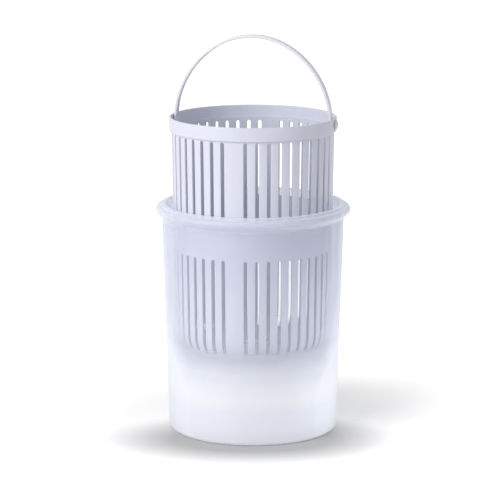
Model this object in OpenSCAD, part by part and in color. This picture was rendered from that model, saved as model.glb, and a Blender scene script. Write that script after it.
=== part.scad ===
// Pickle keeper: a frosted tub, a slotted lift strainer and the strainer's swinging bail.
// Millimetres, +Z up, origin at the centre of the tub's underside.
// The strainer is drawn lifted, as it stands while its brine drains back into the tub.

/* [Tub] */
// Outer radius of the tub at its base
tub_base_r = 55.8; // [48:0.1:64]
// Outer radius of the tub's wall just under its lip
tub_top_r = 60; // [56:0.1:70]
// Height of the tub up to the top of its lip
tub_h = 151.3; // [120:0.1:190]
// Thickness of the tub's wall
tub_wall = 2; // [1.4:0.1:2.8]
// Thickness of the tub's floor
tub_floor = 2; // [1.4:0.1:3]
// Depth of the recess under the floor
foot_recess = 1; // [0.5:0.1:2]
// Width of the foot ring around that recess
foot_ring_w = 5; // [4:0.1:9]
// Radius of the rounded edge between the wall and the foot
tub_edge_r = 2.8; // [1.5:0.1:3.6]
// Radius of the corner between the wall and the floor, inside
tub_corner_r = 6; // [4:0.1:9]
// Height up to which the wall is thicker
skirt_h = 24; // [18:0.1:36]
// How much thicker the wall is there
skirt_t = 0.9; // [0.3:0.1:1.2]

/* [Lip] */
// Height of the lip
lip_h = 8.8; // [7.5:0.1:12]
// How far the lip's bead stands out from the wall
lip_out = 4.3; // [3.8:0.1:6]
// Radius of the bead's round edge
bead_r = 2.4; // [1.8:0.1:2.8]
// Height of the raised ring inside the bead
ring_h = 1.5; // [0.8:0.1:2]
// How far the mouth stands in from the wall's inner face
mouth_step = 0.6; // [0.3:0.1:1]
// Height of the mouth's straight inner face
mouth_h = 4.9; // [3:0.1:6]

/* [Strainer] */
// Thickness of the strainer's wall and floor
strainer_wall = 1.6; // [1.2:0.1:2.2]
// Gap between the strainer's wall and the tub's at the tub's base
base_gap = 2.4; // [1.8:0.1:5]
// Gap between the strainer's band and the tub's mouth
mouth_gap = 2.4; // [1:0.1:5]
// Radius of the round between the strainer's wall and its floor
bowl_r = 18; // [10:0.1:24]
// Height of the band around the strainer's rim
band_h = 9.6; // [8.6:0.1:14]
// How far the band steps out from the wall
band_step = 1.6; // [1:0.1:2.2]
// Gap under the band when the strainer stands on the tub's floor
band_lift = 0.2; // [0.1:0.1:4]
// How far the strainer is lifted where it is drawn
lift = 47.5; // [0:0.1:90]

/* [Slots] */
// Positions around the strainer; every wide_every-th one stays solid
slot_positions = 44; // [36:4:48]
// Solid ribs around the strainer that are as wide as a missing slot
wide_ribs = 4; // [2:2:4]
// Width of a slot
slot_w = 2.4; // [2:0.1:3.4]
// Height of the lower slots' feet above the strainer's underside
slot_foot = 6.5; // [5:0.1:9]
// Height of the solid belt's lower edge above the strainer's underside
belt_z = 71; // [50:0.1:84]
// Height of the solid belt between the two tiers of slots
belt_h = 25.5; // [10:0.1:36]
// Solid wall between the upper slots and the band
slot_head = 0.6; // [0.3:0.1:3]

/* [Strainer floor] */
// Radius of the solid disc at the middle of the floor
hub_r = 8.5; // [7.5:0.1:11]
// Radius at which the inner ring of floor slots ends
inner_ring_r = 18; // [16:0.1:20]
// Solid floor between the two rings, and outside the outer ring
floor_land = 2.6; // [1.5:0.1:3.5]

/* [Bail] */
// Thickness of the bail's strap
bail_t = 1.9; // [1.5:0.1:2.4]
// Width of the strap
bail_w = 6.2; // [4.5:0.1:7]
// Radius of the strap's long edges
bail_edge_r = 0.5; // [0.3:0.05:0.7]
// How much taller than half its span the bail is
bail_extra = 4.3; // [3:0.1:8]
// How much the side arcs' radius exceeds the bail's height
arc_ease = 1.7; // [1.6:0.1:4]
// Clearance between the bail's end pads and the band
pad_gap = 0.3; // [0.2:0.05:0.5]

/* [Snap studs] */
// Radius of the studs that the bail swings on
stud_r = 2.4; // [1.8:0.1:2.8]
// Radial running clearance of the studs in the band
stud_gap = 0.06; // [0.03:0.01:0.1]
// Radius of the studs' snap heads
head_r = 3.3; // [2.9:0.1:3.8]
// Thickness of the snap heads
head_t = 1.2; // [0.9:0.1:1.6]
// Gap between a snap head and the band
head_gap = 0.3; // [0.2:0.05:0.5]
// Width of the split between a stud's two prongs
split_w = 0.8; // [0.5:0.1:1.2]

/* [Hidden] */
$fn = 96;
arc_steps = 10;
cut = 1;

// Tub
tub_slope = (tub_top_r - tub_base_r) / (tub_h - lip_h);
floor_top = foot_recess + tub_floor;
mouth_r = tub_top_r - tub_wall - mouth_step;
mouth_foot = tub_h - mouth_h - mouth_step;
bead_x = tub_top_r + lip_out - bead_r;
bead_z = tub_h - ring_h - bead_r;
bead_start = -50;
ring_edge = 0.7;
skirt_blend = 2.5;

// Strainer
strainer_z = floor_top + lift;
strainer_h = tub_h + band_lift + band_h - floor_top;
band_r = mouth_r - mouth_gap;
band_z = strainer_h - band_h;
rim_r = band_r - band_step;
bowl_top_r = tub_base_r - tub_wall - base_gap;
flat_r = bowl_top_r - bowl_r;
bowl_inner_r = bowl_r - strainer_wall;
band_inner_r = band_r - strainer_wall;
shelf_z = band_z + strainer_wall;
band_edge = 1.3;
rim_edge = 0.5;
sole_recess = 0.5;
sole_w = 4;
wide_every = slot_positions / wide_ribs;
slot_inset = 2;
slot_reach = flat_r - slot_inset;
floor_slots = slot_positions / 4;
outer_ring_r = inner_ring_r + floor_land;
outer_end_r = flat_r - floor_land;

// Bail
pivot_z = strainer_z + (shelf_z + strainer_h) / 2;
pad_r = (strainer_h - shelf_z) / 2 - pad_gap;
pad_face = sqrt(pow(band_inner_r, 2) - pow(pad_r, 2)) - pad_gap;
span_r = pad_face - bail_t / 2;
side_shift = bail_extra + arc_ease;
side_arc_r = span_r + side_shift;
top_centre = bail_extra + pow(bail_extra, 2) / (2 * arc_ease);
top_arc_r = span_r + bail_extra - top_centre;
arc_join = atan2(top_centre, side_shift);
arc_lap = 1;
arc_inset = 0.02;
head_x = band_r + head_gap;
stud_start = pad_face - bail_t / 2;
stud_end = head_x + head_t / 2;
split_start = pad_face + pad_gap;

// Points of an arc about [x, y], counter-clockwise from angle a0 to a1, or clockwise if a1 < a0
function arc(x, y, r, a0, a1) =
    [for (i = [0 : arc_steps]) let (a = a0 + (a1 - a0) * i / arc_steps) [x + r * cos(a), y + r * sin(a)]];

function tub_r(z) = tub_base_r + tub_slope * z;

function tub_outside() = concat(
    [[0, foot_recess], [tub_base_r - tub_edge_r - foot_ring_w, foot_recess]],
    [[tub_base_r - tub_edge_r - foot_ring_w + foot_recess, 0]],
    arc(tub_r(tub_edge_r) - tub_edge_r, tub_edge_r, tub_edge_r, -90, 0),
    [[tub_top_r, tub_h - lip_h]]);

function lip() = concat(
    arc(bead_x, bead_z, bead_r, bead_start, 90),
    [[bead_x - bead_r / 2, tub_h - ring_h]],
    arc(bead_x - bead_r / 2 - ring_edge, tub_h - ring_edge, ring_edge, 0, 90),
    arc(mouth_r + ring_edge, tub_h - ring_edge, ring_edge, 90, 180),
    [[mouth_r, tub_h - mouth_h], [tub_r(mouth_foot) - tub_wall, mouth_foot]]);

function tub_inside() = concat(
    [[tub_r(skirt_h) - tub_wall, skirt_h]],
    [[tub_r(skirt_h - skirt_blend) - tub_wall - skirt_t, skirt_h - skirt_blend]],
    arc(tub_r(floor_top + tub_corner_r) - tub_wall - skirt_t - tub_corner_r, floor_top + tub_corner_r,
        tub_corner_r, 0, -90),
    [[0, floor_top]]);

module container() {
    color([0.93, 0.94, 0.98, 0.7])
        rotate_extrude() polygon(concat(tub_outside(), lip(), tub_inside()));
}

// The strainer's section, drawn above its own underside
function strainer_outside() = concat(
    [[0, sole_recess], [flat_r - sole_w - sole_recess, sole_recess], [flat_r - sole_w, 0]],
    arc(flat_r, bowl_r, bowl_r, -90, 0),
    [[rim_r, band_z]],
    arc(band_r - band_edge, band_z + band_edge, band_edge, -90, 0),
    arc(band_r - rim_edge, strainer_h - rim_edge, rim_edge, 0, 90));

function strainer_inside() = concat(
    arc(band_inner_r + rim_edge, strainer_h - rim_edge, rim_edge, 90, 180),
    [[band_inner_r, shelf_z], [rim_r - strainer_wall, shelf_z]],
    arc(flat_r, bowl_r, bowl_inner_r, 0, -90),
    [[0, strainer_wall]]);

// A slot's outline: straight sides and round ends, from y0 to y1
module slot_outline(y0, y1) {
    translate([-slot_w / 2, y0 + slot_w / 2]) square([slot_w, y1 - y0 - slot_w]);
    for (y = [y0 + slot_w / 2, y1 - slot_w / 2]) translate([0, y]) circle(d = slot_w);
}

// A slot through the wall at an angle around the strainer, between two heights
module wall_slot(angle, z0, z1) {
    rotate([0, 0, angle]) translate([slot_reach, 0, 0]) rotate([90, 0, 90])
        linear_extrude(band_r + cut - slot_reach) slot_outline(z0, z1);
}

// A ring of radial slots through the floor
module floor_ring(count, r0, r1) {
    for (i = [0 : count - 1]) rotate([0, 0, (i + 0.5) * 360 / count - 90])
        translate([0, 0, -cut]) linear_extrude(strainer_wall + 2 * cut) slot_outline(r0, r1);
}

module strainer_basket() {
    color([0.88, 0.88, 0.94])
    translate([0, 0, strainer_z]) difference() {
        rotate_extrude() polygon(concat(strainer_outside(), strainer_inside()));
        for (i = [0 : slot_positions - 1]) if (i % wide_every != 0) {
            wall_slot(i * 360 / slot_positions, slot_foot, belt_z);
            wall_slot(i * 360 / slot_positions, belt_z + belt_h, band_z - slot_head);
        }
        floor_ring(floor_slots, hub_r, inner_ring_r);
        floor_ring(2 * floor_slots, outer_ring_r, outer_end_r);
        translate([0, 0, pivot_z - strainer_z]) rotate([0, 90, 0])
            cylinder(r = stud_r + stud_gap, h = 2 * (band_r + cut), center = true);
    }
}

// The strap's section: a flat bar with round long edges, slimmer all round by an inset
module strap_section(inset) {
    in_t = bail_t - 2 * bail_edge_r;
    in_w = bail_w - 2 * bail_edge_r;
    square([bail_t - 2 * inset, in_w], center = true);
    square([in_t, bail_w - 2 * inset], center = true);
    for (x = [-1, 1], y = [-1, 1]) translate([x * in_t / 2, y * in_w / 2]) circle(bail_edge_r - inset);
}

// A stretch of strap bent to a radius about the Y axis, rising from +X
module strap_arc(radius, angle, inset = 0) {
    rotate([90, 0, 0]) rotate_extrude(angle = angle) translate([radius, 0]) strap_section(inset);
}

// One end of the bail: its pad, and the split stud that snaps through the band from inside
module bail_end() {
    translate([pad_face - bail_t, 0, 0]) rotate([0, 90, 0]) cylinder(r = pad_r, h = bail_t);
    difference() {
        rotate([0, 90, 0]) {
            translate([0, 0, stud_start]) cylinder(r = stud_r, h = stud_end - stud_start);
            translate([0, 0, head_x]) cylinder(r = head_r, h = head_t / 3);
            translate([0, 0, head_x + head_t / 3])
                cylinder(r1 = head_r, r2 = stud_r - split_w / 2, h = head_t * 2 / 3);
        }
        translate([split_start, -split_w / 2, -head_r - cut])
            cube([head_x + head_t + cut - split_start, split_w, 2 * (head_r + cut)]);
    }
}

// Two side arcs and a top arc, tangent to each other; the top arc's ends run a hair inside the side arcs
module bail_handle() {
    color([0.86, 0.86, 0.9])
    translate([0, 0, pivot_z]) {
        for (side = [0, 1]) mirror([side, 0, 0]) {
            translate([-side_shift, 0, 0]) strap_arc(side_arc_r, arc_join);
            bail_end();
        }
        translate([0, 0, top_centre]) rotate([0, arc_lap - arc_join, 0])
            strap_arc(top_arc_r, 180 - 2 * (arc_join - arc_lap), arc_inset);
    }
}

container();
strainer_basket();
bail_handle();
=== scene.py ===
"""Pickle keeper with lift strainer: looks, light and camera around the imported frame. Metres, +Z up."""
import math

import bmesh
import bpy
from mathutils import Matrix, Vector


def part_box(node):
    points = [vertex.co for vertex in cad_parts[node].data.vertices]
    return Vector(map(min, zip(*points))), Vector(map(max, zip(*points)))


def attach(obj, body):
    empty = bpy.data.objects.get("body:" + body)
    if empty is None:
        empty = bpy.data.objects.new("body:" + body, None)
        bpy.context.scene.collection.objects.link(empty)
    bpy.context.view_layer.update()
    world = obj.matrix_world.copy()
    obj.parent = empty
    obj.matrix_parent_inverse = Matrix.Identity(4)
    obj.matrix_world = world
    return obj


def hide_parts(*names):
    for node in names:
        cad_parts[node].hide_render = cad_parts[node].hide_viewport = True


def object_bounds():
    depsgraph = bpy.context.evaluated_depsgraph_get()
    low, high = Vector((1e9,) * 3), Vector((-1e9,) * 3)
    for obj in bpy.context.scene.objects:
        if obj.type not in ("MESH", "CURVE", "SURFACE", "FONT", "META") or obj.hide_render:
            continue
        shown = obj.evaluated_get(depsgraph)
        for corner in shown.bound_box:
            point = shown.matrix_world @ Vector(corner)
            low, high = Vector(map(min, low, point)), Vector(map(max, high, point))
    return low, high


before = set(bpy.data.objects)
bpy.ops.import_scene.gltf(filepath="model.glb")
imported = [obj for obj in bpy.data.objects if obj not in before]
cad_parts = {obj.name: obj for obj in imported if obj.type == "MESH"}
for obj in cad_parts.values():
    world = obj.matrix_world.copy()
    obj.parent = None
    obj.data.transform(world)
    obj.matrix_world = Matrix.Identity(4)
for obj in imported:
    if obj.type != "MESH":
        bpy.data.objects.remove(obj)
CAD_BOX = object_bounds()
TUB_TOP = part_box("container")[1].z

MM = 0.001

# Camera, worked out from the ellipses of the tub and the strainer
CAMERA_AZIMUTH = math.radians(13.4)
CAMERA_DISTANCE = 1539.8 * MM
CAMERA_HEIGHT = 429.5 * MM
CAMERA_ASIDE = -1.9 * MM
CAMERA_PITCH = math.radians(11.40)
FOCAL_IN_PICTURES = 4.7446
SENSOR = 36.0

# Light: azimuths in degrees from the camera, positive to the right; each lamp faces the axis at a height
ROOM_LIGHT = 0.6
KEY = {"azimuth": -47, "elevation": 24, "distance": 1.6, "height": 0.12,
       "size": 1.1, "power": 18.2, "colour": (1.0, 0.99, 0.97)}
FILL = {"azimuth": 60, "elevation": 15, "distance": 2.0, "height": 0.12,
        "size": 1.4, "power": 0.3, "colour": (0.90, 0.93, 1.0)}
LOW = {"azimuth": 66, "elevation": 0, "distance": 0.19, "height": 0.018,
       "size": 0.036, "power": 0.090, "colour": (1.0, 1.0, 1.0)}

# Floor: its colour as the camera sees it and as it lights the object, its glow near the foot and far out, and
# how far from the axis that glow grows
FLOOR_HALF = 6.0
FLOOR_COLOUR = (0.84, 0.84, 0.845)
FLOOR_BOUNCE = (0.70, 0.70, 0.705)
FLOOR_LIFT = (0.22, 0.62)
FLOOR_LIFT_REACH = (0.07, 0.22)
# Painted shade on the floor in front of the foot, standing in for its contact shadow: an ellipse, and how
# bright the floor is out to its rim
SHADE_AHEAD = 36 * MM
SHADE_WIDTH = 104 * MM
SHADE_DEPTH = 62 * MM
SHADE = [(0.50, 0.48), (0.56, 0.54), (0.61, 0.60), (0.67, 0.66), (0.73, 0.73), (0.80, 0.81), (0.86, 0.88),
         (0.94, 0.96), (1.0, 1.0)]

# Plastics; a scale is how many waves of a pattern go into a metre
PLASTIC_IOR = 1.49
BUMP_DEPTH = 0.1 * MM
FLOW_SCALE = 26.0
MOTTLE = 0.03
MOTTLE_SPAN = (0.3, 0.7)
SHEEN_SWING = (-0.05, 0.07)
WHITE_GRAIN_SCALE = 700.0
STRAINER_COLOUR = (0.635, 0.65, 0.758)
STRAINER_ROUGHNESS = 0.38
STRAINER_GRAIN = 0.10
BAIL_COLOUR = (0.70, 0.705, 0.765)
BAIL_ROUGHNESS = 0.34
BAIL_GRAIN = 0.08

# The tub's frosted plastic: lists go by height in millimetres, and an edge is where the wall is seen edge on
# The milk is paler from 25.5 to 34 mm, and darker and bluer again round 44 mm, where that tone is painted shade
# under the strainer's bowl
TUB_COLOUR_AND_BOWL_SHADE = [(0, (0.90, 0.92, 0.985)), (22.5, (0.90, 0.92, 0.985)), (25.5, (0.935, 0.945, 0.985)),
              (34, (0.94, 0.95, 0.99)), (44, (0.90, 0.92, 0.985)), (143, (0.88, 0.90, 0.97))]
TUB_ROUGHNESS = 0.28
TUB_GRAIN_SCALE = 900.0
TUB_GRAIN = 0.12
TUB_GLOW = 0.30
TUB_FOG = [(0, 0.93), (30, 0.93), (38, 0.87), (47, 0.70), (55, 0.42), (64, 0.19), (85, 0.12), (140, 0.11),
           (143.5, 0.29), (151.3, 0.43)]
CLOUD_SCALE = 18.0
CLOUD_FOG = 0.04
EDGE_START = 0.30
EDGE_FOG = [(55, 1.0), (95, 0.53)]
EDGE_TINT = (0.80, 0.81, 0.88)
# The clear part's tint in the neck is painted shade: it darkens the strainer seen behind the neck, standing in
# for the lip's shadow
NECK_PAINTED_SHADE = [(95, (1.0, 1.0, 1.0)), (132, (0.955, 0.958, 0.972)), (151, (0.955, 0.958, 0.972))]

# Meshes: turns round the tub, edges over these angles stay sharp, and points this near are welded
TUB_TURNS = 192
TUB_SHARP = 35
STRAINER_SHARP = 50
BAIL_SHARP = 28
STRAINER_WELD = 0.002 * MM
BAIL_WELD = 0.001 * MM


# ---------------------------------------------------------------- node helpers

def node_tools(owner):
    """Empties the node tree of a material or world, and returns its node maker and its link maker."""
    owner.use_nodes = True
    nodes = owner.node_tree.nodes
    nodes.clear()

    def node(kind, operation=None, **inputs):
        made = nodes.new(kind)
        if operation:
            made.operation = operation
        for key, value in inputs.items():
            made.inputs[key.replace("_", " ")].default_value = value
        return made

    return node, owner.node_tree.links.new


def ramp(node, points):
    """A colour ramp node through (place, colour) points; a plain number is a grey."""
    made = node("ShaderNodeValToRGB")
    band = made.color_ramp
    while len(band.elements) < len(points):
        band.elements.new(0.5)
    for element, (place, colour) in zip(band.elements, points):
        element.position = place
        element.color = (*colour, 1) if isinstance(colour, tuple) else (colour, colour, colour, 1)
    return made


def plastic(name, colour, roughness, grain_strength):
    """Opaque moulded plastic: faint flow mottling in its colour and sheen, and a fine satin grain."""
    mat = bpy.data.materials.new(name)
    node, link = node_tools(mat)
    out = node("ShaderNodeOutputMaterial")
    body = node("ShaderNodeBsdfPrincipled", Roughness=roughness, IOR=PLASTIC_IOR)
    place = node("ShaderNodeTexCoord")
    flow = node("ShaderNodeTexNoise", Scale=FLOW_SCALE, Detail=3.0, Roughness=0.55)
    darker = tuple(c * (1 - MOTTLE) for c in colour)
    tint = ramp(node, [(MOTTLE_SPAN[0], darker), (MOTTLE_SPAN[1], colour)])
    sheen = node("ShaderNodeMapRange", To_Min=roughness + SHEEN_SWING[0], To_Max=roughness + SHEEN_SWING[1])
    grain = node("ShaderNodeTexNoise", Scale=WHITE_GRAIN_SCALE, Detail=2.0)
    bump = node("ShaderNodeBump", Strength=grain_strength, Distance=BUMP_DEPTH)
    link(place.outputs["Object"], flow.inputs["Vector"])
    link(place.outputs["Object"], grain.inputs["Vector"])
    link(flow.outputs["Fac"], tint.inputs["Fac"])
    link(flow.outputs["Fac"], sheen.inputs["Value"])
    link(grain.outputs["Fac"], bump.inputs["Height"])
    link(tint.outputs["Color"], body.inputs["Base Color"])
    link(sheen.outputs["Result"], body.inputs["Roughness"])
    link(bump.outputs["Normal"], body.inputs["Normal"])
    link(body.outputs["BSDF"], out.inputs["Surface"])
    return mat


def frosted(name):
    """The tub's clear frosted plastic: nearly clear high on the wall, fogged white low down."""
    mat = bpy.data.materials.new(name)
    node, link = node_tools(mat)
    place = node("ShaderNodeTexCoord")
    axes = node("ShaderNodeSeparateXYZ")
    height = node("ShaderNodeMapRange", From_Max=TUB_TOP)
    link(place.outputs["Object"], axes.inputs["Vector"])
    link(axes.outputs["Z"], height.inputs["Value"])

    def by_height(points):
        """What a list by height in millimetres gives at each point of the tub."""
        made = ramp(node, [(z * MM / TUB_TOP, value) for z, value in points])
        link(height.outputs["Result"], made.inputs["Fac"])
        return made.outputs["Color"]

    # Milk: a fine-grained white skin that also lets light glow through; its colour by height carries the
    # painted shade under the bowl
    tint = by_height(TUB_COLOUR_AND_BOWL_SHADE)
    grain = node("ShaderNodeTexNoise", Scale=TUB_GRAIN_SCALE, Detail=2.0)
    bump = node("ShaderNodeBump", Strength=TUB_GRAIN, Distance=BUMP_DEPTH)
    skin = node("ShaderNodeBsdfPrincipled", Roughness=TUB_ROUGHNESS, IOR=PLASTIC_IOR)
    glow = node("ShaderNodeBsdfTranslucent")
    milk = node("ShaderNodeMixShader", Fac=TUB_GLOW)
    link(place.outputs["Object"], grain.inputs["Vector"])
    link(grain.outputs["Fac"], bump.inputs["Height"])
    link(bump.outputs["Normal"], skin.inputs["Normal"])
    link(tint, skin.inputs["Base Color"])
    link(tint, glow.inputs["Color"])
    link(skin.outputs["BSDF"], milk.inputs[1])
    link(glow.outputs["BSDF"], milk.inputs[2])

    # Clear: darker and bluer where the wall is seen edge on, and a little darker in the neck as painted shade
    # of the lip on the strainer behind
    facing = node("ShaderNodeLayerWeight", Blend=0.5)
    depth = ramp(node, [(0.0, 1.0), (EDGE_START, 1.0), (1.0, EDGE_TINT)])
    dimmed = node("ShaderNodeVectorMath", "MULTIPLY")
    clear = node("ShaderNodeBsdfTransparent")
    link(facing.outputs["Facing"], depth.inputs["Fac"])
    link(depth.outputs["Color"], dimmed.inputs[0])
    link(by_height(NECK_PAINTED_SHADE), dimmed.inputs[1])
    link(dimmed.outputs["Vector"], clear.inputs["Color"])

    # How much of it is milk: by height, with faint clouds, and more where the wall is seen edge on
    cloud = node("ShaderNodeTexNoise", Scale=CLOUD_SCALE, Detail=4.0)
    clouded = node("ShaderNodeMath", "MULTIPLY_ADD")
    clouded.inputs[1].default_value = CLOUD_FOG
    edge = node("ShaderNodeMapRange", From_Min=EDGE_START)
    edge.interpolation_type = "SMOOTHSTEP"
    total = node("ShaderNodeMath", "ADD")
    total.use_clamp = True
    link(place.outputs["Object"], cloud.inputs["Vector"])
    link(cloud.outputs["Fac"], clouded.inputs[0])
    link(by_height(TUB_FOG), clouded.inputs[2])
    link(facing.outputs["Facing"], edge.inputs["Value"])
    link(by_height(EDGE_FOG), edge.inputs["To Max"])
    link(clouded.outputs["Value"], total.inputs[0])
    link(edge.outputs["Result"], total.inputs[1])

    wall = node("ShaderNodeMixShader")
    out = node("ShaderNodeOutputMaterial")
    link(total.outputs["Value"], wall.inputs["Fac"])
    link(clear.outputs["BSDF"], wall.inputs[1])
    link(milk.outputs["Shader"], wall.inputs[2])
    link(wall.outputs["Shader"], out.inputs["Surface"])
    return mat


def dress(obj, material):
    """Gives an object its one material."""
    obj.data.materials.clear()
    obj.data.materials.append(material)


# ---------------------------------------------------------------- mesh helpers

def add_object(name, data):
    """A new object in the scene."""
    obj = bpy.data.objects.new(name, data)
    bpy.context.scene.collection.objects.link(obj)
    return obj


def arc(x, z, radius, start, end, steps=12):
    """Points of an arc about (x, z) in a turned section, in millimetres, between two angles in degrees."""
    angles = [math.radians(start + (end - start) * i / steps) for i in range(steps + 1)]
    return [(x + radius * math.cos(angle), z + radius * math.sin(angle)) for angle in angles]


def lathe(name, section, turns):
    """A closed mesh turned about Z from a section that starts and ends on the axis, in millimetres."""
    made = bmesh.new()
    angles = [2 * math.pi * i / turns for i in range(turns)]
    rings = []
    for radius, z in section:
        if radius == 0:
            rings.append([made.verts.new((0, 0, z * MM))] * turns)
        else:
            rings.append([made.verts.new((radius * MM * math.cos(a), radius * MM * math.sin(a), z * MM))
                          for a in angles])
    for low, high in zip(rings, rings[1:]):
        for i in range(turns):
            corners = [low[i], low[(i + 1) % turns], high[(i + 1) % turns], high[i]]
            made.faces.new(list(dict.fromkeys(corners))).smooth = True
    bmesh.ops.recalc_face_normals(made, faces=made.faces)
    mesh = bpy.data.meshes.new(name)
    made.to_mesh(mesh)
    made.free()
    return add_object(name, mesh)


def smooth_by_angle(obj, degrees):
    """Smooth shading, with the edges over that angle kept sharp."""
    mesh = obj.data
    made = bmesh.new()
    made.from_mesh(mesh)
    limit = math.radians(degrees)
    for face in made.faces:
        face.smooth = True
    for edge in made.edges:
        edge.smooth = len(edge.link_faces) == 2 and edge.calc_face_angle(0) < limit
    made.to_mesh(mesh)
    made.free()


# ---------------------------------------------------------------- tub

def tub_section():
    """The tub's section in millimetres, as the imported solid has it, from its underside round to its floor."""
    base_r, top_r, tub_h, wall, lip_h = 55.8, 60.0, TUB_TOP / MM, 2.0, 8.8
    foot, floor_top, ring_w, edge_r, corner_r = 1.0, 3.0, 5.0, 2.8, 6.0
    skirt_h, skirt_t, skirt_blend = 24.0, 0.9, 2.5
    bead_r, bead_start, ring_h, ring_edge, mouth_step, mouth_h = 2.4, -50, 1.5, 0.7, 0.6, 4.9
    low_row, high_row, row_step, flat_step = 8, 140, 4, 6.0
    slope = (top_r - base_r) / (tub_h - lip_h)
    mouth_r = top_r - wall - mouth_step
    mouth_z = tub_h - mouth_h - mouth_step
    bead_x, bead_z = CAD_BOX[1][0] / MM - bead_r, tub_h - ring_h - bead_r

    def out_r(z):
        return base_r + slope * z

    def in_r(z):
        return out_r(z) - wall

    foot_x = base_r - edge_r - ring_w
    outside = [(0, foot), (foot_x - flat_step, foot), (foot_x, foot), (foot_x + foot, 0)]
    outside += arc(out_r(edge_r) - edge_r, edge_r, edge_r, -90, 0)
    outside += [(out_r(z), z) for z in range(low_row, high_row, row_step)] + [(top_r, tub_h - lip_h)]
    lip = arc(bead_x, bead_z, bead_r, bead_start, 90, steps=24) + [(bead_x - bead_r / 2, tub_h - ring_h)]
    lip += arc(bead_x - bead_r / 2 - ring_edge, tub_h - ring_edge, ring_edge, 0, 90)
    lip += arc(mouth_r + ring_edge, tub_h - ring_edge, ring_edge, 90, 180)
    lip += [(mouth_r, tub_h - mouth_h), (in_r(mouth_z), mouth_z)]
    inside = [(in_r(z), z) for z in range(high_row, int(skirt_h), -row_step)] + [(in_r(skirt_h), skirt_h)]
    inside += [(in_r(skirt_h - skirt_blend) - skirt_t, skirt_h - skirt_blend)]
    corner_z = floor_top + corner_r
    inside += arc(in_r(corner_z) - skirt_t - corner_r, corner_z, corner_r, 0, -90)
    inside += [(foot_x - flat_step, floor_top), (0, floor_top)]
    return outside + lip + inside


def make_tub():
    """The frosted tub as one fine turned mesh in its node's place."""
    tub = lathe("tub_shell", tub_section(), TUB_TURNS)
    smooth_by_angle(tub, TUB_SHARP)
    dress(tub, frosted("frosted_tub"))
    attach(tub, "tub")
    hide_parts("container")


# ---------------------------------------------------------------- strainer

class Strainer:
    """The strainer's sizes in millimetres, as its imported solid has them, above its own underside."""
    columns, segments, wide_every = 44, 4, 11
    wall, bowl_r, flat_r = 1.6, 18.0, 33.4
    bowl_top_r, rim_r, band_r = 51.4, 53.4, 55.0
    height, band_z, shelf_z = 158.1, 148.5, 150.1
    band_edge, rim_edge, sole_recess, sole_w = 1.3, 0.5, 0.5, 4.0
    slot_r, slot_foot, belt_z, belt_top, slot_top = 1.2, 6.5, 71.0, 96.5, 147.9
    inner_slots, outer_slots = 11, 22
    inner_ring, outer_ring = (8.5, 18.0), (20.6, 30.8)
    bore_r, bore_z = 2.46, 154.1
    edge_r = 0.2
    # Plain margins beyond the ends of the slots, of the upper slots at the band, and of the bores
    margin, top_margin, bore_margin = 1.2, 0.35, 0.6
    # Rows of points along the slots: radii on the floor, the last two where its recess ends, and
    # heights on the wall
    inner_rows = [12.0, 14.5]
    outer_rows = [24.0, 26.5, 28.9, 29.4]
    lower_rows = [8.6, 9.8, 11.2, 12.8, 14.6, 16.4, 18.0, 24.0, 32.0, 42.0, 52.0, 61.0]
    upper_rows = [106.0, 116.0, 126.0, 136.0]
    belt_rows = 4

    @classmethod
    def outside(cls, z):
        """Radius of the wall's outer face at a height."""
        if z < cls.bowl_r:
            return cls.flat_r + math.sqrt(cls.bowl_r ** 2 - (cls.bowl_r - z) ** 2)
        rise = (z - cls.bowl_r) / (cls.band_z - cls.bowl_r)
        return cls.bowl_top_r + rise * (cls.rim_r - cls.bowl_top_r)

    @classmethod
    def inside(cls, z):
        """Radius of the wall's inner face at a height."""
        bowl = cls.bowl_r - cls.wall
        if z < cls.bowl_r:
            return cls.flat_r + math.sqrt(bowl ** 2 - (cls.bowl_r - z) ** 2)
        rise = (z - cls.bowl_r) / (cls.shelf_z - cls.bowl_r)
        return cls.bowl_top_r - cls.wall + rise * (cls.rim_r - cls.bowl_top_r)

    @classmethod
    def sole(cls, r):
        """Height of the floor's underside at a radius."""
        return min(cls.sole_recess, max(0.0, cls.flat_r - cls.sole_w - r))


class Sheet:
    """Faces of a turned, slotted shell, gathered as separate polygons and welded at the end."""

    def __init__(self, base_z):
        self.mesh = bmesh.new()
        self.base_z = base_z

    def point(self, angle, along, across, z):
        """A vertex at a distance along and across the direction of an angle."""
        return self.mesh.verts.new(((along * math.cos(angle) - across * math.sin(angle)) * MM,
                                    (along * math.sin(angle) + across * math.cos(angle)) * MM,
                                    z * MM + self.base_z))

    def face(self, *corners):
        """One face from (angle, along, across, z) corners."""
        self.mesh.faces.new([self.point(*corner) for corner in corners]).smooth = True

    def turn(self, section, count):
        """Plain strips all round between the section's (radius, z) points."""
        step = 2 * math.pi / count
        for (r0, z0), (r1, z1) in zip(section, section[1:]):
            for i in range(count):
                a, b = i * step, (i + 1) * step
                if r0 == 0:
                    self.face((a, 0, 0, z0), (a, r1, 0, z1), (b, r1, 0, z1))
                else:
                    self.face((a, r0, 0, z0), (b, r0, 0, z0), (b, r1, 0, z1), (a, r1, 0, z1))

    def finish(self, name):
        """The welded object."""
        bmesh.ops.remove_doubles(self.mesh, verts=self.mesh.verts, dist=STRAINER_WELD)
        bmesh.ops.recalc_face_normals(self.mesh, faces=self.mesh.faces)
        mesh = bpy.data.meshes.new(name)
        self.mesh.to_mesh(mesh)
        self.mesh.free()
        return add_object(name, mesh)


def hole_levels(start, end, radius, margins, rows):
    """The levels on a column's edges beside one hole: below it, along it and above it."""
    low, high = start + radius, end - radius
    straight = [row for row in rows if low < row < high]
    below = [start - margins[0], (low + start - margins[0]) / 2]
    above = [(high + end + margins[1]) / 2, end + margins[1]]
    along = [low] + straight + ([high] if high > low else [])
    return below, along, above


def zone_ends(levels):
    """The first and the last level of a zone."""
    return levels[0][0], levels[2][1]


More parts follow.
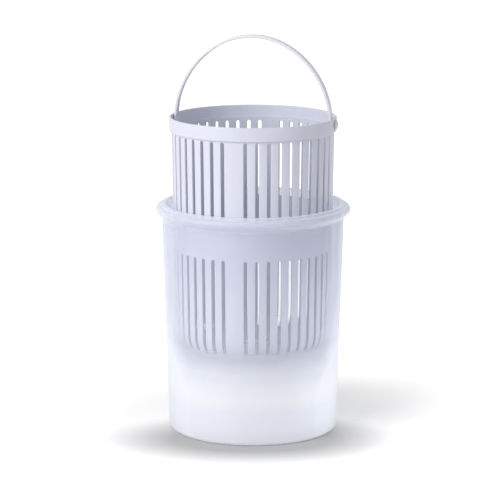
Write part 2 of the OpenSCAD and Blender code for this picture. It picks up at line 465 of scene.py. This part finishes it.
def hole_loop(levels, segments):
    """Once round a hole, one entry a vertex: its place on the column's outline, as a share of the half width
    and a level, and its place on the hole's own rim, as a centre's level and an angle round it."""
    below, along, above = levels
    row = [2 * i / segments - 1 for i in range(segments + 1)]
    foot = [(-1, along[0]), (-1, below[1])]
    foot += [(share, below[0]) for share in row]
    foot += [(1, below[1]), (1, along[0])]
    head = [(1, along[-1]), (1, above[0])]
    head += [(share, above[1]) for share in reversed(row)]
    head += [(-1, above[0]), (-1, along[-1])]
    turn = math.pi / (len(foot) - 1)
    loop = [(share, level, along[0], math.pi + i * turn) for i, (share, level) in enumerate(foot)]
    loop += [(1, level, level, 0.0) for level in along[1:-1]]
    loop += [(share, level, along[-1], i * turn) for i, (share, level) in enumerate(head)]
    loop += [(-1, level, level, math.pi) for level in reversed(along[1:-1])]
    return loop


def wall_places(outside, inside):
    """For an upright wall's outer and inner face: makers of corners on the face, and on the rim of a hole
    that runs through it, at a depth from the face."""
    def edge(face):
        radius = (outside, inside)[face]
        return lambda angle, turn, level: (angle + turn, radius(level), 0, level)

    def rim(face):
        radius, inward = (outside, inside)[face], (-1, 1)[face]
        return lambda angle, level, across, depth: (
            angle, math.sqrt(radius(level) ** 2 - across ** 2) + inward * depth, across, level)

    return [(edge(face), rim(face)) for face in (0, 1)]


def floor_places(underside, top):
    """The same for the floor's underside and top, where a level is a radius."""
    def edge(face):
        height = (underside, top)[face]
        return lambda angle, turn, level: (angle + turn, level, 0, height(level))

    def rim(face):
        height, inward = (underside, top)[face], (1, -1)[face]
        return lambda angle, level, across, depth: (angle, level, across, height(level) + inward * depth)

    return [(edge(face), rim(face)) for face in (0, 1)]


def plain_column(sheet, places, angle, half, levels, segments):
    """A column without a hole, on both faces."""
    turns = [(2 * i / segments - 1) * half for i in range(segments + 1)]
    for edge, _ in places:
        for low, high in zip(levels, levels[1:]):
            for a, b in zip(turns, turns[1:]):
                sheet.face(edge(angle, a, low), edge(angle, b, low),
                           edge(angle, b, high), edge(angle, a, high))


def holed_column(sheet, places, angle, half, loop, radius):
    """A column with one round-ended hole through both faces, with rounded edges."""
    sides = []
    for edge, rim in places:
        side = [[edge(angle, share * half, level) for share, level, _, _ in loop]]
        for reach, depth in ((radius + Strainer.edge_r, 0), (radius, Strainer.edge_r)):
            side.append([rim(angle, centre + reach * math.sin(a), reach * math.cos(a), depth)
                         for _, _, centre, a in loop])
        sides.append(side)
    rings = sides[0] + sides[1][::-1]
    for near, far in zip(rings, rings[1:]):
        for i in range(len(loop)):
            after = (i + 1) % len(loop)
            sheet.face(near[i], near[after], far[after], far[i])


def slotted_zone(sheet, places, holed, levels, radius, count, segments, first_angle=0.0):
    """A ring of equal columns on both faces of a shell, with a round-ended hole where holed(i) is true."""
    half = math.pi / count
    loop = hole_loop(levels, segments)
    for i in range(count):
        angle = first_angle + 2 * half * i
        if holed(i):
            holed_column(sheet, places, angle, half, loop, radius)
        else:
            plain_column(sheet, places, angle, half, sum(levels, []), segments)


def strainer_shell():
    """The slotted strainer as one clean mesh: floor, round, two tiers of slots, band and rim."""
    st = Strainer
    sheet = Sheet(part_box("strainer_basket")[0].z)
    round_the = st.columns * st.segments
    wall = wall_places(st.outside, st.inside)
    band = wall_places(lambda z: st.band_r, lambda z: st.band_r - st.wall)
    floor = floor_places(st.sole, lambda r: st.wall)

    # Floor: hub, two rings of slots, and the land out to the round
    land = (st.outer_ring[0] - st.inner_ring[1]) / 2
    hub = hole_levels(*st.inner_ring, st.slot_r, (st.margin, land), st.inner_rows)
    outer = hole_levels(*st.outer_ring, st.slot_r, (land, st.margin), st.outer_rows)
    for levels, count in ((hub, st.inner_slots), (outer, st.outer_slots)):
        slotted_zone(sheet, floor, lambda i: True, levels, st.slot_r, count, round_the // count,
                     -math.pi / 2 + math.pi / count)
    hub_r, _ = zone_ends(hub)
    _, land_r = zone_ends(outer)
    sheet.turn([(0, st.sole(0)), (hub_r / 2, st.sole(0)), (hub_r, st.sole(0))], round_the)
    sheet.turn([(0, st.wall), (hub_r / 2, st.wall), (hub_r, st.wall)], round_the)

    # Round between floor and wall, up to the lower slots
    lower = hole_levels(st.slot_foot, st.belt_z, st.slot_r, (st.margin, st.margin), st.lower_rows)
    lower_start, lower_end = zone_ends(lower)
    for rise, radius in ((0.0, st.bowl_r), (st.wall, st.bowl_r - st.wall)):
        end = math.degrees(math.asin((lower_start - st.bowl_r) / radius))
        curve = arc(st.flat_r, st.bowl_r, radius, -90, end, steps=8)
        sheet.turn([(land_r, rise)] + curve, round_the)

    # Wall with its two tiers of slots and the belt between them
    def slotted(i):
        return i % st.wide_every != 0

    slotted_zone(sheet, wall, slotted, lower, st.slot_r, st.columns, st.segments)
    upper = hole_levels(st.belt_top, st.slot_top, st.slot_r, (st.margin, st.top_margin), st.upper_rows)
    upper_start, upper_end = zone_ends(upper)
    slotted_zone(sheet, wall, slotted, upper, st.slot_r, st.columns, st.segments)
    belt_h = upper_start - lower_end
    belt = [lower_end + belt_h * i / st.belt_rows for i in range(st.belt_rows + 1)]
    sheet.turn([(st.outside(z), z) for z in belt], round_the)
    sheet.turn([(st.inside(z), z) for z in belt], round_the)

    # Band with the bail's two bores, and its rounded rim
    def bored(i):
        return i % (st.columns // 2) == 0

    bore = hole_levels(st.bore_z - st.bore_r, st.bore_z + st.bore_r, st.bore_r,
                       (st.bore_margin, st.bore_margin), [])
    bore_start, bore_end = zone_ends(bore)
    slotted_zone(sheet, band, bored, bore, st.bore_r, st.columns, st.segments)
    top = st.height - st.rim_edge
    mouth_r = st.band_r - st.wall
    under = [(st.outside(upper_end), upper_end), (st.rim_r, st.band_z)]
    under += arc(st.band_r - st.band_edge, st.band_z + st.band_edge, st.band_edge, -90, 0, steps=8)
    sheet.turn(under + [(st.band_r, bore_start)], round_the)
    rim = [(st.band_r, bore_end)] + arc(st.band_r - st.rim_edge, top, st.rim_edge, 0, 90, steps=5)
    rim += arc(mouth_r + st.rim_edge, top, st.rim_edge, 90, 180, steps=5)
    sheet.turn(rim + [(mouth_r, bore_end)], round_the)
    sheet.turn([(mouth_r, bore_start), (mouth_r, st.shelf_z),
                (st.inside(st.shelf_z), st.shelf_z), (st.inside(upper_end), upper_end)], round_the)
    return sheet.finish("strainer_shell")


def make_strainer():
    """The strainer in its node's place."""
    strainer = strainer_shell()
    smooth_by_angle(strainer, STRAINER_SHARP)
    strainer.modifiers.new("even_shading", "WEIGHTED_NORMAL").keep_sharp = True
    white = plastic("white_strainer", STRAINER_COLOUR, STRAINER_ROUGHNESS, STRAINER_GRAIN)
    dress(strainer, white)
    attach(strainer, "strainer")
    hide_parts("strainer_basket")


# ---------------------------------------------------------------- bail

def make_bail():
    """The bail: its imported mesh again, welded and shaded smooth along its bends."""
    bail = add_object("bail_strap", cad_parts["bail_handle"].data.copy())
    made = bmesh.new()
    made.from_mesh(bail.data)
    bmesh.ops.remove_doubles(made, verts=made.verts, dist=BAIL_WELD)
    made.to_mesh(bail.data)
    made.free()
    smooth_by_angle(bail, BAIL_SHARP)
    dress(bail, plastic("white_bail", BAIL_COLOUR, BAIL_ROUGHNESS, BAIL_GRAIN))
    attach(bail, "bail")
    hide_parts("bail_handle")


# ---------------------------------------------------------------- stage

def add_camera():
    """The photograph's view: the bail's near end on the right."""
    data = bpy.data.cameras.new("camera")
    data.sensor_width = SENSOR
    data.lens = FOCAL_IN_PICTURES * SENSOR
    camera = add_object("camera", data)
    ahead = Vector((-math.sin(CAMERA_AZIMUTH), math.cos(CAMERA_AZIMUTH), 0))
    aside = Vector((math.cos(CAMERA_AZIMUTH), math.sin(CAMERA_AZIMUTH), 0))
    camera.location = aside * CAMERA_ASIDE - ahead * CAMERA_DISTANCE + Vector((0, 0, CAMERA_HEIGHT))
    camera.rotation_euler = (math.pi / 2 - CAMERA_PITCH, 0, CAMERA_AZIMUTH)
    bpy.context.scene.camera = camera


def area_light(name, azimuth, elevation, distance, height, size, power, colour):
    """A soft square lamp that faces the object's axis and that the camera doesn't see."""
    data = bpy.data.lights.new(name, "AREA")
    data.size = size
    data.energy = power
    data.color = colour
    lamp = add_object(name, data)
    lamp.visible_camera = False
    turn = math.radians(azimuth) + CAMERA_AZIMUTH
    tilt = math.radians(elevation)
    away = Vector((math.sin(turn) * math.cos(tilt), -math.cos(turn) * math.cos(tilt), math.sin(tilt)))
    lamp.location = Vector((0, 0, height)) + away * distance
    lamp.rotation_euler = away.to_track_quat("Z", "Y").to_euler()
    return lamp


def seen_from_camera(node, link):
    """1 for what the camera sees directly, in gloss or by transmission, and 0 for light."""
    path = node("ShaderNodeLightPath")
    first = node("ShaderNodeMath", "MAXIMUM")
    second = node("ShaderNodeMath", "MAXIMUM")
    link(path.outputs["Is Camera Ray"], first.inputs[0])
    link(path.outputs["Is Glossy Ray"], first.inputs[1])
    link(first.outputs["Value"], second.inputs[0])
    link(path.outputs["Is Transmission Ray"], second.inputs[1])
    return second.outputs["Value"]


def add_world():
    """Plain soft light all round, and white where the camera looks past the floor."""
    world = bpy.data.worlds.new("studio")
    bpy.context.scene.world = world
    node, link = node_tools(world)
    out = node("ShaderNodeOutputWorld")
    strength = node("ShaderNodeMapRange", To_Min=ROOM_LIGHT, To_Max=1.0)
    sky = node("ShaderNodeBackground", Color=(1, 1, 1, 1))
    link(seen_from_camera(node, link), strength.inputs["Value"])
    link(strength.outputs["Result"], sky.inputs["Strength"])
    link(sky.outputs["Background"], out.inputs["Surface"])


def add_floor():
    """A white floor that keeps the object's shadow, with a painted shade in front of the foot, and runs out
    into the white background.
    """
    mesh = bpy.data.meshes.new("floor")
    corners = [(x * FLOOR_HALF, y * FLOOR_HALF, 0) for x, y in ((-1, -1), (1, -1), (1, 1), (-1, 1))]
    mesh.from_pydata(corners, [], [(0, 1, 2, 3)])
    floor = add_object("floor", mesh)
    mat = bpy.data.materials.new("floor_white")
    node, link = node_tools(mat)
    place = node("ShaderNodeTexCoord")

    # Seen: matt white, with a glow that grows outward
    matt = node("ShaderNodeBsdfDiffuse", Color=(*FLOOR_COLOUR, 1))
    away = node("ShaderNodeVectorMath", "LENGTH")
    outward = node("ShaderNodeMapRange", From_Min=FLOOR_LIFT_REACH[0], From_Max=FLOOR_LIFT_REACH[1],
                   To_Min=FLOOR_LIFT[0], To_Max=FLOOR_LIFT[1])
    outward.interpolation_type = "SMOOTHSTEP"
    lift = node("ShaderNodeEmission", Color=(1, 1, 1, 1))
    seen = node("ShaderNodeAddShader")
    link(place.outputs["Object"], away.inputs[0])
    link(away.outputs["Value"], outward.inputs["Value"])
    link(outward.outputs["Result"], lift.inputs["Strength"])
    link(matt.outputs["BSDF"], seen.inputs[0])
    link(lift.outputs["Emission"], seen.inputs[1])

    # Painted shade: the same, darker inside the ellipse in front of the foot
    ahead = (math.sin(CAMERA_AZIMUTH) * SHADE_AHEAD, -math.cos(CAMERA_AZIMUTH) * SHADE_AHEAD, 0)
    ellipse = node("ShaderNodeMapping", Location=ahead, Rotation=(0, 0, CAMERA_AZIMUTH),
                   Scale=(SHADE_WIDTH, SHADE_DEPTH, 1))
    ellipse.vector_type = "TEXTURE"
    outness = node("ShaderNodeVectorMath", "LENGTH")
    shade = ramp(node, SHADE)
    dark = node("ShaderNodeBsdfDiffuse", Color=(0, 0, 0, 1))
    painted_shade_mix = node("ShaderNodeMixShader")
    link(place.outputs["Object"], ellipse.inputs["Vector"])
    link(ellipse.outputs["Vector"], outness.inputs[0])
    link(outness.outputs["Value"], shade.inputs["Fac"])
    link(shade.outputs["Color"], painted_shade_mix.inputs["Fac"])
    link(dark.outputs["BSDF"], painted_shade_mix.inputs[1])
    link(seen.outputs["Shader"], painted_shade_mix.inputs[2])

    # A darker, plain floor for the light that it throws back
    bounce = node("ShaderNodeBsdfDiffuse", Color=(*FLOOR_BOUNCE, 1))
    floor_look = node("ShaderNodeMixShader")
    out = node("ShaderNodeOutputMaterial")
    link(seen_from_camera(node, link), floor_look.inputs["Fac"])
    link(bounce.outputs["BSDF"], floor_look.inputs[1])
    link(painted_shade_mix.outputs["Shader"], floor_look.inputs[2])
    link(floor_look.outputs["Shader"], out.inputs["Surface"])
    mesh.materials.append(mat)


make_tub()
make_strainer()
make_bail()
add_camera()
add_world()
area_light("key", **KEY)
area_light("fill", **FILL)
# The low lamp brightens the foot from the right, with no highlight of its own
low_lamp = area_light("low", **LOW)
low_lamp.visible_glossy = False
add_floor()
bpy.context.scene.view_settings.view_transform = "Standard"
